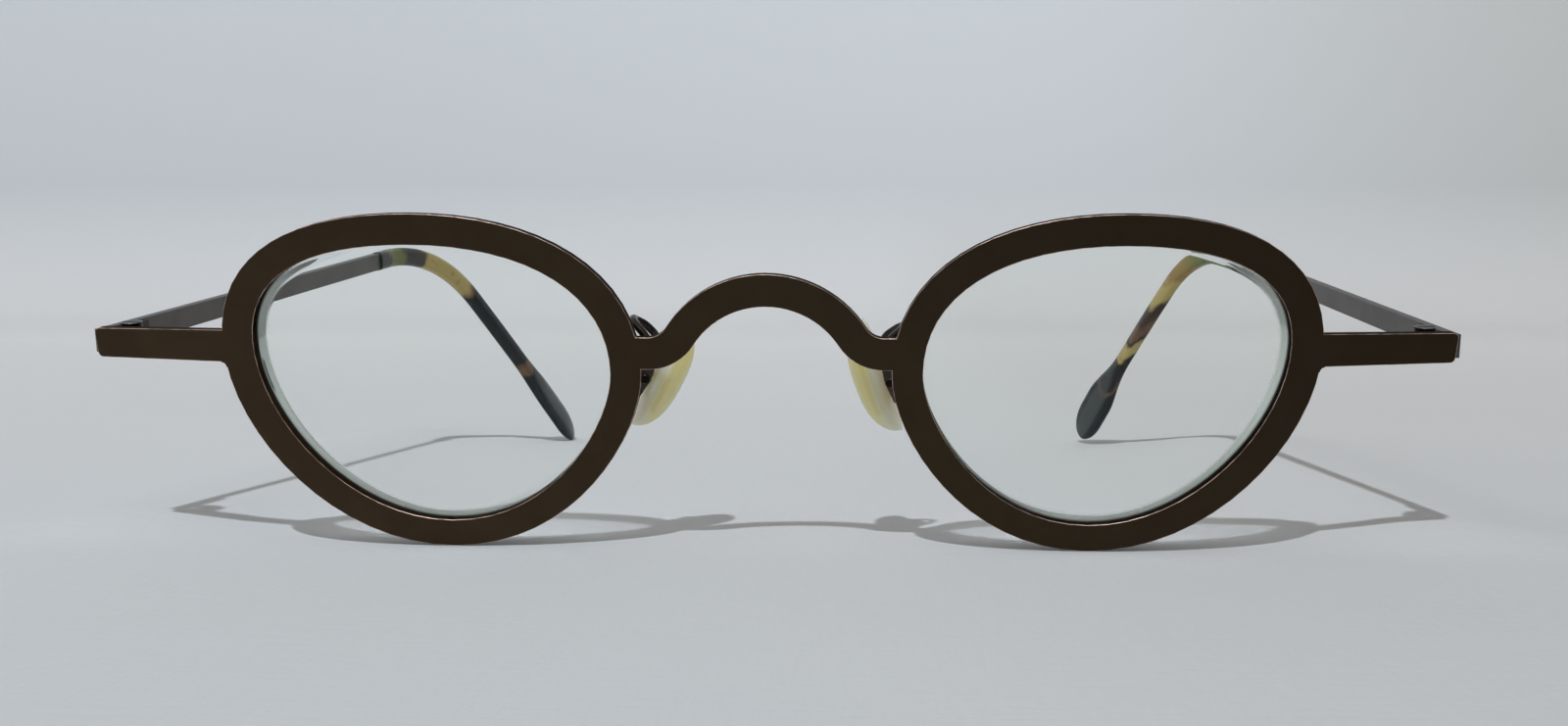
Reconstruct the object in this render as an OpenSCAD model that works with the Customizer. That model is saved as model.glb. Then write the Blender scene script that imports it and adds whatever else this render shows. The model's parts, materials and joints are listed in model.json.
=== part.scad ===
// Spectacle frame with a flat metal front, two oval rims joined by an arched bridge,
// thin straight temples on barrel hinges, and acetate tips bent down behind the ears.
// Everything is drawn in the plane of the front: x to the right, y backwards from the
// front's face, z up from the lowest point of the rims. It is then leaned forward until
// the rims and both tips touch the floor.

/* [Front] */
// Width of the front over both end pieces
front_w = 137.5; // [134:0.5:142]
// Thickness of the flat front
plate_t = 1.1; // [1:0.05:1.4]
// Width of the rim over the lens
rim_w = 3.15; // [2.8:0.05:3.6]
// Width of the rim under the lens, where it is slimmest
rim_low_w = 2.8; // [2.5:0.05:3.1]
// Height of the top edge of the end pieces
end_top = 23.05; // [22.6:0.05:23.6]
// Height of an end piece at its outer end
end_h = 3; // [2.7:0.1:3.3]
// Height of an end piece where it leaves the rim
end_root_h = 3.35; // [3.1:0.05:3.6]
// Radius of the end pieces' corners
end_r = 0.5; // [0.3:0.1:0.8]

/* [Lens shape] */
// Width of the lens opening
lens_w = 36.55; // [35.5:0.05:37.5]
// Height of the lens opening
lens_h = 28.85; // [28:0.05:29.6]
// Distance between the two lens openings
lens_gap = 31.7; // [31:0.1:32.4]
// Where the opening is highest, from its nose side, as a share of its width
top_at = 0.55; // [0.5:0.005:0.59]
// Where the opening is lowest, from its nose side, as a share of its width
low_at = 0.465; // [0.43:0.005:0.5]
// Height of the outermost point, as a share of the opening's height
temple_at = 0.66; // [0.62:0.005:0.7]
// Height of the innermost point, as a share of the opening's height
nose_at = 0.545; // [0.5:0.005:0.59]
// Fullness of the top towards the temple
top_out_full = 0.645; // [0.55:0.005:0.75]
// Fullness of the temple side upwards
temple_up_full = 0.675; // [0.6:0.005:0.75]
// Fullness of the temple side downwards
temple_down_full = 0.45; // [0.4:0.005:0.55]
// Fullness of the bottom towards the temple
low_out_full = 0.545; // [0.45:0.005:0.62]
// Fullness of the bottom towards the nose
low_in_full = 0.645; // [0.55:0.005:0.72]
// Fullness of the nose side downwards
nose_down_full = 0.315; // [0.25:0.005:0.45]
// Fullness of the nose side upwards
nose_up_full = 0.615; // [0.5:0.005:0.7]
// Fullness of the top towards the nose
top_in_full = 0.62; // [0.5:0.005:0.7]

/* [Bridge] */
// Height of the bridge's top
bridge_top = 28.75; // [28:0.05:29.5]
// Width of the bridge's band
bridge_w = 3.3; // [3:0.1:3.6]
// Radius of the arch underneath
bridge_r = 8.75; // [8.4:0.05:9.1]
// Height of the band's top edge where it runs into the rims
notch_z = 22.25; // [21.9:0.05:22.6]
// Radius of the turn from the arch to the rims, on the band's top edge
notch_r = 2.15; // [1.8:0.05:2.5]

/* [Lenses] */
// Radius of a lens's front surface
lens_front_r = 130; // [110:1:180]
// Radius of a lens's back surface
lens_back_r = 129; // [105:1:175]
// Thickness of a lens in the middle
lens_t = 3; // [2.6:0.1:3.2]
// Height of the bevel round a lens
bevel_h = 0.5; // [0.4:0.05:0.55]
// Half the width of the bevel's foot
bevel_foot = 0.4; // [0.35:0.05:0.45]

/* [Eyewires] */
// Depth of an eyewire behind the front
wire_d = 2.8; // [2.7:0.1:3]
// Radial thickness of an eyewire
wire_t = 1.1; // [1.05:0.05:1.2]
// Distance that an eyewire stays back from the edge of the lens opening
wire_back = 0.15; // [0.1:0.05:0.25]
// Gap between the two ends of an eyewire, inside its closing block
wire_gap = 0.3; // [0.2:0.05:0.4]
// Height of an eyewire's split above the rims' lowest point
split_z = 17.1; // [16.9:0.1:17.3]
// Length of each half of the closing block
lock_len = 1.45; // [1.3:0.05:1.6]
// Radius of the closing screw
lock_screw_r = 0.45; // [0.4:0.05:0.5]

/* [Hinges] */
// Distance of a hinge's pivot from the outer end of the front
pivot_in = 2.42; // [2.3:0.02:2.6]
// Distance of a hinge's pivot behind the front's face
pivot_y = 3.2; // [3.1:0.05:3.3]
// Radius of the hinge barrel
barrel_r = 1.1; // [1.05:0.05:1.15]
// Height of the hinge barrel
barrel_h = 2.5; // [2.3:0.1:2.5]
// Radius of the hinge screw's shank
hinge_screw_r = 0.6; // [0.5:0.05:0.7]
// Height of the hinge screw's head
hinge_head_h = 0.45; // [0.35:0.05:0.5]
// Length of the hinge leaf on the end piece
front_leaf_len = 5.5; // [5:0.1:6]
// Length of the hinge leaf on the temple
temple_leaf_len = 6.5; // [6:0.1:8]
// Thickness of the hinge leaves
leaf_t = 0.45; // [0.4:0.05:0.5]

/* [Temples] */
// Length of a temple from its pivot to the end of its tip, along the bend seen from the side
temple_len = 134.2; // [130:0.1:142]
// Length of a temple from its pivot to the start of the bend
bend_at = 82.8; // [80:0.1:88]
// Radius of the bend behind the ear
bend_r = 19.5; // [17:0.5:22]
// Angle by which a tip turns down
bend_angle = 55; // [50:0.1:58]
// Height of the flat temple blade
blade_h = 2.44; // [2.3:0.02:2.6]
// Thickness of the flat temple blade
blade_t = 1.05; // [0.9:0.05:1.1]
// Distance that a blade's outer face stands outside the front's end
blade_proud = 0.45; // [0.4:0.05:0.6]
// Height of a blade's middle at the pivot
blade_z = 21.36; // [21.3:0.02:21.5]
// Angle by which the right temple closes in towards the head
right_in = 3.75; // [2.5:0.05:4]
// Angle by which the left temple closes in towards the head
left_in = 3.05; // [2.5:0.05:4]
// Angle by which the right temple drops from square to the front
right_drop = 3.15; // [2.6:0.05:3.6]
// Angle by which the left temple drops from square to the front
left_drop = 3.4; // [2.6:0.05:3.6]
// Sideways lean of the right tip after the bend, as a slope
right_slope = 0.37; // [0.3:0.005:0.44]
// Sideways lean of the left tip after the bend, as a slope
left_slope = 0.42; // [0.3:0.005:0.44]

/* [Tips] */
// Distance from the pivot to the start of the acetate tip
sleeve_at = 76.6; // [74:0.1:80]
// Thickness of a tip
tip_t = 1.95; // [1.9:0.05:2.5]
// Height of a tip
tip_h = 2.75; // [2.65:0.05:3.1]
// Height of the paddle at the end of a tip
paddle_h = 5.8; // [5:0.1:6.2]
// Length of the paddle
paddle_len = 18.5; // [17:0.5:22]
// Length of the rounded end of a paddle
tip_end_r = 5.2; // [3:0.1:6.5]
// Turn of the right paddle about its own length
right_twist = 21.5; // [10:0.5:30]
// Turn of the left paddle about its own length, the other way
left_twist = 9.5; // [0:0.5:15]
// Length of the metal core inside a tip
core_len = 43; // [38:1:46]
// Room between a tip and its core
core_room = 0.05; // [0.03:0.01:0.08]

/* [Nose pads] */
// Length of a nose pad
pad_len = 12.6; // [12:0.1:13.2]
// Width of a nose pad, from front to back
pad_w = 7; // [6.6:0.1:7.4]
// Thickness of a nose pad
pad_t = 3.2; // [3:0.1:3.4]
// Tilt of the right pad from upright
right_tilt = 19; // [17:0.5:21]
// Tilt of the left pad from upright
left_tilt = 28; // [26:0.5:30]
// Turn of the pads, opening backwards
pad_splay = 8; // [6:0.5:10]
// Distance of the pads' pivots behind the front's face
pad_y = 7.5; // [7.4:0.1:7.8]
// Distance of a pad's back from its pivot
pad_off = 0.7; // [0.65:0.05:0.8]
// Radius of the wire that carries a pad
arm_r = 0.42; // [0.38:0.02:0.46]

/* [Hidden] */

// Colours of the bare model
bronze = [0.18, 0.15, 0.12];
grey_metal = [0.42, 0.41, 0.40];
steel = [0.7, 0.7, 0.68];
clear = [0.8, 0.86, 0.84];
cream = [0.86, 0.78, 0.6];
tortoise = [0.36, 0.24, 0.12];

// Steps round each lens
steps = 64;
// Radial running fit of screws and pins
fit = 0.04;
// Gap between faces that move past each other
play = 0.06;
// Gap between a lens and the metal round it
lens_room = 0.1;
// Overlap of solids that are joined
bite = 0.2;

// Oval of the lens opening, as four cubic curves through its outermost points
nose_x = lens_gap / 2;
temple_x = nose_x + lens_w;
low_z = rim_low_w;
high_z = low_z + lens_h;
p_top = [nose_x + top_at * lens_w, high_z];
p_out = [temple_x, low_z + temple_at * lens_h];
p_low = [nose_x + low_at * lens_w, low_z];
p_in = [nose_x, low_z + nose_at * lens_h];

function cubic(a, b, c, d, t) = a * pow(1 - t, 3) + 3 * b * t * pow(1 - t, 2) + 3 * c * t * t * (1 - t)
    + d * pow(t, 3);
function slope(a, b, c, d, t) = (b - a) * pow(1 - t, 2) + 2 * (c - b) * t * (1 - t) + (d - c) * t * t;

// The handles of each quarter lie level or upright, so that the quarters meet smoothly
quarters = [
    [p_top, p_top + [(p_out[0] - p_top[0]) * top_out_full, 0],
        p_out + [0, (p_top[1] - p_out[1]) * temple_up_full], p_out],
    [p_out, p_out + [0, (p_low[1] - p_out[1]) * temple_down_full],
        p_low + [(p_out[0] - p_low[0]) * low_out_full, 0], p_low],
    [p_low, p_low + [(p_in[0] - p_low[0]) * low_in_full, 0],
        p_in + [0, (p_low[1] - p_in[1]) * nose_down_full], p_in],
    [p_in, p_in + [0, (p_top[1] - p_in[1]) * nose_up_full],
        p_top + [(p_in[0] - p_top[0]) * top_in_full, 0], p_top]
];
function quarter(t) = quarters[floor(t) % 4];
function oval(t) = let(q = quarter(t), f = t - floor(t)) cubic(q[0], q[1], q[2], q[3], f);
function unit(v) = v / norm(v);
// Outward direction of the oval at t, which runs from 0 to 4 clockwise from the top
function out_dir(t) = let(q = quarter(t), f = t - floor(t), d = unit(slope(q[0], q[1], q[2], q[3], f)))
    [-d[1], d[0]];
function oval_off(t, off) = oval(t) + off * out_dir(t);
turns = [for (i = [0:steps - 1]) 4 * i / steps];

// The rim is slimmer underneath, in proportion to how far it faces down
function rim_at(t) = rim_w - (rim_w - rim_low_w) * pow(max(0, -out_dir(t)[1]), 2);
rim_outline = [for (t = turns) oval_off(t, rim_at(t))];
plate_top = max([for (p = rim_outline) p[1]]);

// Solids from rings of points
function ring_faces(rings, n) = [
    for (r = [0:rings - 2], i = [0:n - 1]) let(a = r * n + i, b = r * n + (i + 1) % n)
        each [[a, b, b + n], [a, b + n, a + n]]
];
// A skin over rings of points. Each cap is a list of convex pieces, and is the whole ring if none is given
module skin(rings, closed = false, cap = []) {
    n = len(rings[0]);
    m = len(rings);
    pieces = len(cap) > 0 ? cap : [[for (i = [0:n - 1]) i]];
    caps = closed ? [] : concat([for (c = pieces) back(c)], [for (c = pieces) [for (i = c) (m - 1) * n + i]]);
    faces = closed
        ? [for (r = [0:m - 1], i = [0:n - 1]) let(a = r * n + i, b = r * n + (i + 1) % n,
            c = ((r + 1) % m) * n + i, d = ((r + 1) % m) * n + (i + 1) % n) each [[a, b, d], [a, d, c]]]
        : concat(ring_faces(m, n), caps);
    polyhedron([for (r = rings) each r], faces, convexity = 8);
}
// A flat shape in the plane of the front, from depth y0 to y1
module slab(y0, y1) {
    translate([0, y1, 0]) rotate([90, 0, 0]) linear_extrude(y1 - y0) children();
}
function arc(c, r, a0, a1, n) = [for (i = [0:n]) let(a = a0 + (a1 - a0) * i / n) c + r * [cos(a), sin(a)]];
function rest(v) = [for (i = [1:len(v) - 1]) v[i]];
function back(v) = [for (i = [len(v) - 1:-1:0]) v[i]];
function flip(v) = [for (p = v) [-p[0], p[1]]];
// Points that round the corner b between a and c
function round_off(a, b, c, r, n = 5) = let(u = unit(a - b), w = unit(c - b), h = acos(u * w) / 2,
    o = b + unit(u + w) * r / sin(h), p = b + u * r / tan(h) - o, q = b + w * r / tan(h) - o)
    [for (i = [0:n]) o + r * unit(p * (n - i) + q * i)];

// Front: a flat sheet with two rims, the bridge and the end pieces
arch_out = bridge_r + bridge_w;
arch_c = [0, bridge_top - arch_out];
flare_z = notch_z + notch_r;
flare_c = [sqrt(pow(arch_out + notch_r, 2) - pow(flare_z - arch_c[1], 2)), flare_z];
meet = atan2(flare_c[1] - arch_c[1], flare_c[0]);
bridge_end = nose_x - rim_w / 2;
band_top = concat(arc(arch_c, arch_out, 90, meet, 14), rest(arc(flare_c, notch_r, 180 + meet, 270, 8)),
    [[bridge_end, notch_z]]);
band_low = concat([[bridge_end, notch_z - bridge_w]], arc(flare_c, notch_r + bridge_w, 270, 180 + meet, 9),
    rest(arc(arch_c, bridge_r, meet, 90, 12)));
band = concat(band_top, band_low, flip(rest(back(band_low))), flip(back(rest(band_top))));

// An end piece tapers outwards: its top rises a little and its outer end slants
end_rise = 0.2;
end_slant = 0.25;
root_x = temple_x + rim_w / 2;
root_low = end_top - end_rise - end_root_h;
end_pts = [[root_x, end_top - end_rise], [front_w / 2, end_top], [front_w / 2 - end_slant, end_top - end_h],
    [root_x, root_low]];
end_shape = concat([end_pts[0]], round_off(end_pts[0], end_pts[1], end_pts[2], end_r),
    round_off(end_pts[1], end_pts[2], end_pts[3], end_r), [end_pts[3]]);
under_r = 0.5;
// Where the end piece's lower edge meets the rim
join_x = lookup(root_low, [for (t = turns) if (t > 0.8 && t < 1.8) let(p = oval_off(t, rim_at(t)))
    [p[1], p[0]]]);
fillet_shape = concat([[join_x - bite, root_low + bite], [join_x + under_r, root_low + bite]],
    arc([join_x + under_r, root_low - under_r], under_r, 90, 180, 4), [[join_x - bite, root_low - under_r]]);

module rim_2d() {
    difference() {
        polygon(rim_outline);
        polygon([for (t = turns) oval(t)]);
    }
    polygon(end_shape);
    polygon(fillet_shape);
}
module front_plate() {
    color(bronze) stand() slab(0, plate_t) {
        polygon(band);
        rim_2d();
        mirror([1, 0]) rim_2d();
    }
}

// Eyewire: a grooved wire on the back of each rim, split at its closing block
lens_off = wire_back - lens_room;
wire_out = wire_back + wire_t;
wire_end = plate_t + wire_d;
groove_y = plate_t + wire_d / 2;
edge_r = 0.25;
wire_section = [
    [wire_back, plate_t], [wire_out, plate_t], [wire_out, wire_end - edge_r], [wire_out - edge_r, wire_end],
    [wire_back + edge_r, wire_end], [wire_back, wire_end - edge_r],
    [wire_back, groove_y + bevel_foot + lens_room],
    [lens_off + bevel_h + lens_room, groove_y],
    [wire_back, groove_y - bevel_foot - lens_room]
];
// The grooved section as convex pieces
wire_cap = [[0, 1, 7, 8], [1, 2, 7], [2, 3, 4, 5, 6, 7]];
split_t = lookup(split_z, [for (i = [0:40]) let(t = 1 + i / 41) [oval(t)[1], t]]);
split_q = quarter(split_t);
split_speed = 3 * norm(slope(split_q[0], split_q[1], split_q[2], split_q[3], split_t - 1));
half_gap_t = wire_gap / 2 / split_speed;
function on_oval(t, section) = let(p = oval(t), n = out_dir(t))
    [for (s = section) [p[0] + n[0] * s[0], s[1], p[1] + n[1] * s[0]]];
module eyewire() {
    color(grey_metal) skin([for (i = [0:steps]) on_oval(split_t + half_gap_t + (4 - 2 * half_gap_t) * i / steps,
        wire_section)], cap = wire_cap);
}

// Lens: a meniscus between two spheres, ground to the oval, with a bevel that sits in the groove
lens_c = [nose_x + lens_w / 2, low_z + lens_h / 2];
edge_near = min([for (t = turns) norm(oval(t) - lens_c)]);
function sag(r, ball) = ball - sqrt(ball * ball - r * r);
lens_y = plate_t + lens_room - sag(edge_near, lens_front_r);
lens_depth = 8;
bevel_in = 0.1;
bevel_wide = bevel_foot * (bevel_h + bevel_in) / bevel_h;
bevel_section = [[lens_off - bevel_in, groove_y - bevel_wide], [lens_off + bevel_h, groove_y],
    [lens_off - bevel_in, groove_y + bevel_wide]];
module ball(y, r) {
    translate([lens_c[0], y, lens_c[1]]) sphere(r = r, $fn = 240);
}
module lens() {
    color(clear) {
        difference() {
            intersection() {
                slab(0, lens_depth) polygon([for (t = turns) oval_off(t, lens_off)]);
                ball(lens_y + lens_front_r, lens_front_r);
            }
            ball(lens_y + lens_t + lens_back_r, lens_back_r);
        }
        skin([for (t = turns) on_oval(t, bevel_section)], closed = true);
    }
}

// Closing block: two halves beside the eyewire's ends and over their backs, drawn together by a screw
lock_wide = 1.7;
lock_back = 0.9;
lock_screw_x = wire_out + lock_wide / 2;
lock_screw_y = plate_t + wire_d / 2;
lock_head_h = 0.5;
module at_split() {
    p = oval(split_t);
    n = out_dir(split_t);
    translate([p[0], 0, p[1]]) rotate([0, -atan2(n[1], n[0]), 0]) children();
}
module lock_half(z) {
    color(grey_metal) at_split() difference() {
        union() {
            translate([wire_out, plate_t, z]) cube([lock_wide, wire_d + lock_back, lock_len]);
            translate([wire_back + edge_r, wire_end, z]) cube([wire_t, lock_back, lock_len]);
        }
        translate([lock_screw_x, lock_screw_y, z - 1]) cylinder(h = lock_len + 2, r = lock_screw_r + fit, $fn = 32);
    }
}
module rim_lock_upper() {
    lock_half(wire_gap / 2);
}
module rim_lock_lower() {
    lock_half(-wire_gap / 2 - lock_len);
}
module rim_lock_screw() {
    low = -wire_gap / 2 - lock_len;
    color(steel) at_split() translate([lock_screw_x, lock_screw_y, 0]) difference() {
        union() {
            translate([0, 0, low - bite]) cylinder(h = wire_gap / 2 + lock_len - low, r = lock_screw_r, $fn = 32);
            translate([0, 0, low - lock_head_h]) cylinder(h = lock_head_h, r = lock_wide / 2 - 0.05, $fn = 32);
        }
        translate([-lock_wide, -0.12, low - lock_head_h - 0.01]) cube([2 * lock_wide, 0.24, 0.2]);
    }
}

// Hinges: three knuckles on one screw, two on the front and one on the temple
pivot_x = front_w / 2 - pivot_in;
knuckle_h = (barrel_h - 2 * play) / 3;
barrel_low = blade_z - barrel_h / 2;
web = 0.8 * barrel_r;
head_r = 1.08;
module knuckle(z, h) {
    translate([0, 0, z]) cylinder(h = h, r = barrel_r, $fn = 48);
}
module hinge_front() {
    color(grey_metal) difference() {
        union() {
            translate([pivot_x - front_leaf_len, plate_t, barrel_low])
                cube([front_leaf_len + web, leaf_t, barrel_h]);
            for (z = [0, barrel_h - knuckle_h]) translate([pivot_x, pivot_y, barrel_low]) {
                knuckle(z, knuckle_h);
                translate([-web, plate_t - pivot_y, z]) cube([2 * web, pivot_y - plate_t, knuckle_h]);
            }
        }
        translate([pivot_x, pivot_y, barrel_low - 1]) cylinder(h = barrel_h + 2, r = hinge_screw_r + fit, $fn = 48);
    }
}
module hinge_screw() {
    color(steel) translate([pivot_x, pivot_y, barrel_low]) difference() {
        union() {
            cylinder(h = barrel_h + hinge_head_h / 2, r = hinge_screw_r, $fn = 48);
            translate([0, 0, barrel_h]) cylinder(h = hinge_head_h, r = head_r, $fn = 48);
        }
        translate([-2, -0.15, barrel_h + hinge_head_h / 2]) cube([4, 0.3, hinge_head_h]);
    }
}
// Frame of a temple: origin on the pivot at the blade's middle, y along the blade
blade_x = front_w / 2 + blade_proud - blade_t / 2 - pivot_x;
blade_in = blade_x - blade_t / 2;
module temple_plan(turn) {
    translate([pivot_x, pivot_y, blade_z]) rotate([0, 0, turn]) children();
}
module hinge_temple(turn, drop) {
    color(grey_metal) temple_plan(turn) difference() {
        union() {
            knuckle(-knuckle_h / 2, knuckle_h);
            translate([0, -web / 2, -knuckle_h / 2]) cube([blade_in - leaf_t / 2, web + barrel_r / 2, knuckle_h]);
            rotate([-drop, 0, 0]) translate([blade_in - leaf_t, -web / 2, -blade_h / 2 + 0.15])
                cube([leaf_t, temple_leaf_len, blade_h - 0.3]);
        }
        translate([0, 0, -barrel_h]) cylinder(h = 2 * barrel_h, r = hinge_screw_r + fit, $fn = 48);
    }
}

// Path of a temple in its own frame, at the distance s from the pivot. After the bend it closes in by slope
bend_len = bend_r * bend_angle * PI / 180;
tip_start = bend_at - 2;
tip_curl = 0.001;
tip_ease = 2;
function turned(s) = s < bend_at ? 0 : min(bend_angle, (s - bend_at) / bend_r * 180 / PI);
function run_after(s) = max(0, s - bend_at - bend_len);
function run_back(s) = min(s, bend_at) + bend_r * sin(turned(s)) + run_after(s) * cos(bend_angle);
function run_down(s) = -bend_r * (1 - cos(turned(s))) - run_after(s) * sin(bend_angle);
function run_in(s, slope) = let(e = max(0, s - tip_start))
    slope * (sqrt(e * e + tip_ease * tip_ease) - tip_ease) - tip_curl * e * e;
function path(s, slope) = [blade_x - run_in(s, slope), run_back(s), run_down(s)];
// A ring across the path, with half sizes a sideways and b upwards, turned by twist
function soft(v) = sign(v) * pow(abs(v), 0.75);
function across(s, slope, a, b, twist, n) = let(
    p = path(s, slope), d = unit(path(s + 0.05, slope) - path(s - 0.05, slope)),
    up0 = [0, sin(turned(s)), cos(turned(s))], out = unit(cross(d, up0)), up = cross(out, d),
    o2 = out * cos(twist) + up * sin(twist), u2 = up * cos(twist) - out * sin(twist))
    [for (i = [0:n - 1]) let(t = 360 * (i + 0.5) / n) p + o2 * a * soft(cos(t)) + u2 * b * soft(sin(t))];

// Tip: swells over the core, runs on round the bend and ends in a rounded paddle
swell = 4;
function smooth(x) = let(c = max(0, min(1, x))) c * c * (3 - 2 * c);
function paddle(s) = smooth((s - (temple_len - paddle_len)) / (0.53 * paddle_len));
function end_round(s) = let(e = max(0, s - (temple_len - tip_end_r)) / tip_end_r) sqrt(max(0.004, 1 - e * e));
function tip_a(s) = (blade_t / 2 + 0.4 + (tip_t / 2 - blade_t / 2 - 0.4) * smooth((s - sleeve_at) / swell))
    * (1 - 0.12 * paddle(s)) * end_round(s);
function tip_b(s) = (blade_h / 2 + 0.15 + (tip_h / 2 - blade_h / 2 - 0.15) * smooth((s - sleeve_at) / swell)
    + (paddle_h - tip_h) / 2 * paddle(s)) * end_round(s);
tip_runs = concat([for (i = [0:30]) sleeve_at + (temple_len - tip_end_r - sleeve_at) * i / 30],
    [for (i = [1:8]) temple_len - tip_end_r + tip_end_r * sin(90 * i / 8)]);
function tip_rings(slope, twist) = [for (s = tip_runs) across(s, slope, tip_a(s), tip_b(s), twist * paddle(s), 12)];

// Core: the blade's narrow end, which the tip is pushed over
core_a = 0.4;
core_b = 0.85;
core_slim = 0.45;
core_steps = 20;
// Rings round the core, or round its bore with some room. The first starts earlier, inside the blade
function core_rings(slope, early, room) = [for (i = [0:core_steps]) let(f = i / core_steps,
    s = sleeve_at + core_len * f + (i == 0 ? -early : i == core_steps ? room : 0), thin = 1 - core_slim * f)
    across(s, slope, core_a * thin + room, core_b * thin + room, 0, 8)];
module on_temple(turn, drop) {
    temple_plan(turn) rotate([-drop, 0, 0]) children();
}
module temple(turn, drop, slope) {
    color(grey_metal) difference() {
        on_temple(turn, drop) {
            translate([blade_in, -pivot_y, -blade_h / 2]) cube([blade_t, sleeve_at + pivot_y, blade_h]);
            skin(core_rings(slope, 1, 0));
        }
        translate([pivot_x - 5, -pivot_y, blade_z - 5]) cube([10, pivot_y + plate_t + play, 10]);
    }
}
module temple_tip(turn, drop, slope, twist) {
    color(tortoise) on_temple(turn, drop) difference() {
        skin(tip_rings(slope, twist));
        skin(core_rings(slope, 0.5, core_room));
    }
}

// Lean of the front, at which the tips' lowest points touch the floor too
function turn_x(p, a) = [p[0], p[1] * cos(a) - p[2] * sin(a), p[1] * sin(a) + p[2] * cos(a)];
function turn_z(p, a) = [p[0] * cos(a) - p[1] * sin(a), p[0] * sin(a) + p[1] * cos(a), p[2]];
function tip_points(turn, drop, slope, twist) = [for (r = tip_rings(slope, twist), p = r)
    turn_z(turn_x(p, -drop), turn) + [pivot_x, pivot_y, blade_z]];
tip_cloud = concat(tip_points(left_in, left_drop, left_slope, -left_twist),
    tip_points(right_in, right_drop, right_slope, right_twist));
lean = max([for (p = tip_cloud) atan2(-p[2], p[1])]);
// The origin lies midway between the front's top edge and the furthest point of the tips
shift_y = (plate_top * sin(lean) - max([for (p = tip_cloud) turn_x(p, lean)[1]])) / 2;
module stand() {
    translate([0, shift_y, 0]) rotate([lean, 0, 0]) children();
}

// Nose pads: each rocks on a screw across its box, at the end of a wire arm
pad_rise = 0.8;
right_pivot = [12.7, pad_y, 16.3];
left_pivot = [13.4, pad_y, 16.6];
// How far each pad's arm reaches outwards and rises from its foot
right_reach = 2.5;
right_loop = 1.85;
left_reach = 2.8;
left_loop = 2.45;
box_top = 1.6;
box_low = -2.25;
// Room between a pad's back and its box, which is roofed so that the pad can rock
box_near = 0.12;
box_mid = 0.35;
box_half = 1.3;
stem_half = 0.45;
pin_r = 0.3;
module pad_frame(pivot, tilt) {
    translate(pivot) rotate([0, -tilt, 0]) rotate([0, 0, -pad_splay]) children();
}
function from_pad(p, pivot, tilt) = let(q = turn_z(p, -pad_splay))
    [q[0] * cos(tilt) - q[2] * sin(tilt), q[1], q[0] * sin(tilt) + q[2] * cos(tilt)] + pivot;
module crossbar(r, y0, y1) {
    translate([0, y1, 0]) rotate([90, 0, 0]) cylinder(h = y1 - y0, r = r, $fn = 32);
}
// Section of a pad at the height h: flat behind, round in front
function pad_ring(h, n) = let(k = abs(2 * h / pad_len), w = pad_w / 2 * sqrt(1 - pow(k, 2.4)),
    t = pad_t * sqrt(1 - pow(k, 2.6)))
    [for (i = [0:n - 1]) let(a = 360 * i / n) [-pad_off - t * pow((1 + sin(a)) / 2, 1.6), w * cos(a), h + pad_rise]];
module insert_shape(room) {
    translate([-pad_off - 1.35 - room, -1.5 - room, pad_rise - 3.4 - room])
        cube([0.3 + 2 * room, 3 + 2 * room, 6.8 + 2 * room]);
    translate([-pad_off - 1.2, -stem_half - room, -0.6 - room])
        cube([pad_off + 1.2, 2 * (stem_half + room), 1.2 + 2 * room]);
}
module nose_pad(pivot, tilt) {
    color(cream) pad_frame(pivot, tilt) difference() {
        skin([for (i = [0:16]) pad_ring(-cos(8 + 164 * i / 16) * pad_len / 2, 16)]);
        insert_shape(0.03);
    }
}
module pad_insert(pivot, tilt) {
    color(steel) pad_frame(pivot, tilt) difference() {
        union() {
            insert_shape(0);
            crossbar(0.7, -stem_half, stem_half);
        }
        crossbar(pin_r + fit, -2, 2);
    }
}
module pad_box(pivot, tilt) {
    color(grey_metal) pad_frame(pivot, tilt) difference() {
        slab(-box_half, box_half) polygon([[box_near + 0.17 - pad_off, box_top], [1, box_top], [1, -0.7],
            [0.5, -2], [0.1, box_low], [box_near + 0.25 - pad_off, box_low], [box_near - pad_off, 0]]);
        translate([-1, -stem_half - play, -1.2]) cube([1.8, 2 * (stem_half + play), 2.4]);
        crossbar(pin_r + fit / 2, -3, 3);
    }
}
module pad_screw(pivot, tilt) {
    color(steel) pad_frame(pivot, tilt) {
        crossbar(pin_r, -box_half - 0.1, box_half);
        crossbar(0.48, -box_half - 0.25, -box_half);
    }
}
// Arm: a wire that loops outwards and up from the back of the bridge, and down to the box
function spline(p, i, f) = let(a = p[max(0, i - 1)], b = p[i], c = p[i + 1], d = p[min(len(p) - 1, i + 2)])
    b + (c - a) / 2 * f + (a - 2.5 * b + 2 * c - d / 2) * f * f + (-a / 2 + 1.5 * b - 1.5 * c + d / 2) * f * f * f;
function wire_points(p, n) = concat([for (i = [0:len(p) - 2], k = [0:n - 1]) spline(p, i, k / n)], [p[len(p) - 1]]);
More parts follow.
